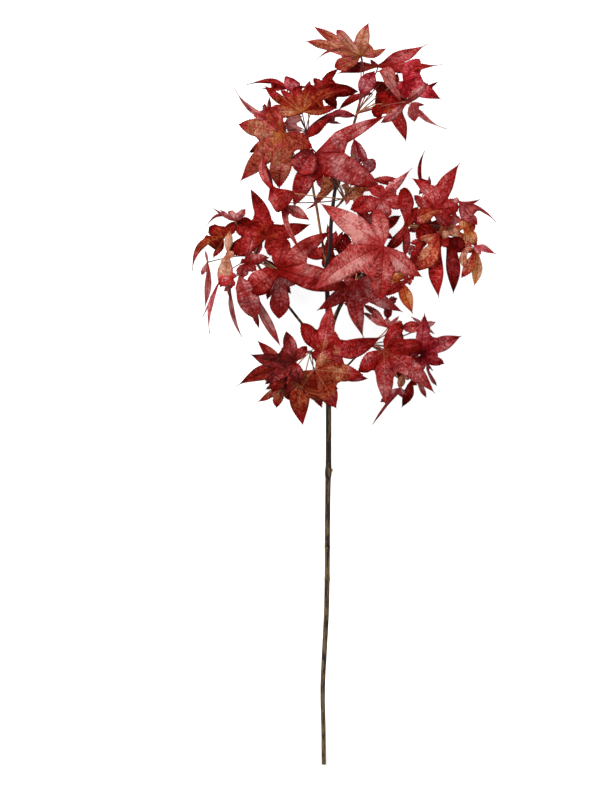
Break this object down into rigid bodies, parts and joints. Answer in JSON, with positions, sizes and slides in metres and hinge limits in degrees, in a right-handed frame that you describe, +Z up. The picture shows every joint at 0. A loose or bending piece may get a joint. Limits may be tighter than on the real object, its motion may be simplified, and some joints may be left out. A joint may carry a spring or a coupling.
{
  "type": "artificial japanese maple spray",
  "caption": "Single cut spray of an artificial Japanese maple: a long wire stem with side boughs and masses of five-lobed red fabric leaves, lying flat.",
  "frame": {"origin": "on the surface that the spray lies on, under the middle of its box", "axes": "+Y from the cut end of the stem to the top leaf, +Z up from the surface to the face of the spray"},
  "size_m": [0.3643, 0.8924, 0.1681],
  "materials": {
    "stem": "satin",
    "bough": "satin",
    "leaf": "matte"
  },
  "bodies": {
    "root": {"stem": "stem", "lower_right_bough": "bough", "lower_left_bough": "bough", "left_bough": "bough", "right_bough": "bough", "centre_bough": "bough", "upper_left_bough": "bough", "upper_centre_bough": "bough", "top_foliage": "leaf", "upper_left_foliage": "leaf", "upper_centre_foliage": "leaf", "left_foliage": "leaf", "centre_foliage": "leaf", "right_foliage": "leaf", "lower_left_foliage": "leaf", "lower_right_foliage": "leaf"}
  },
  "joints": []
}
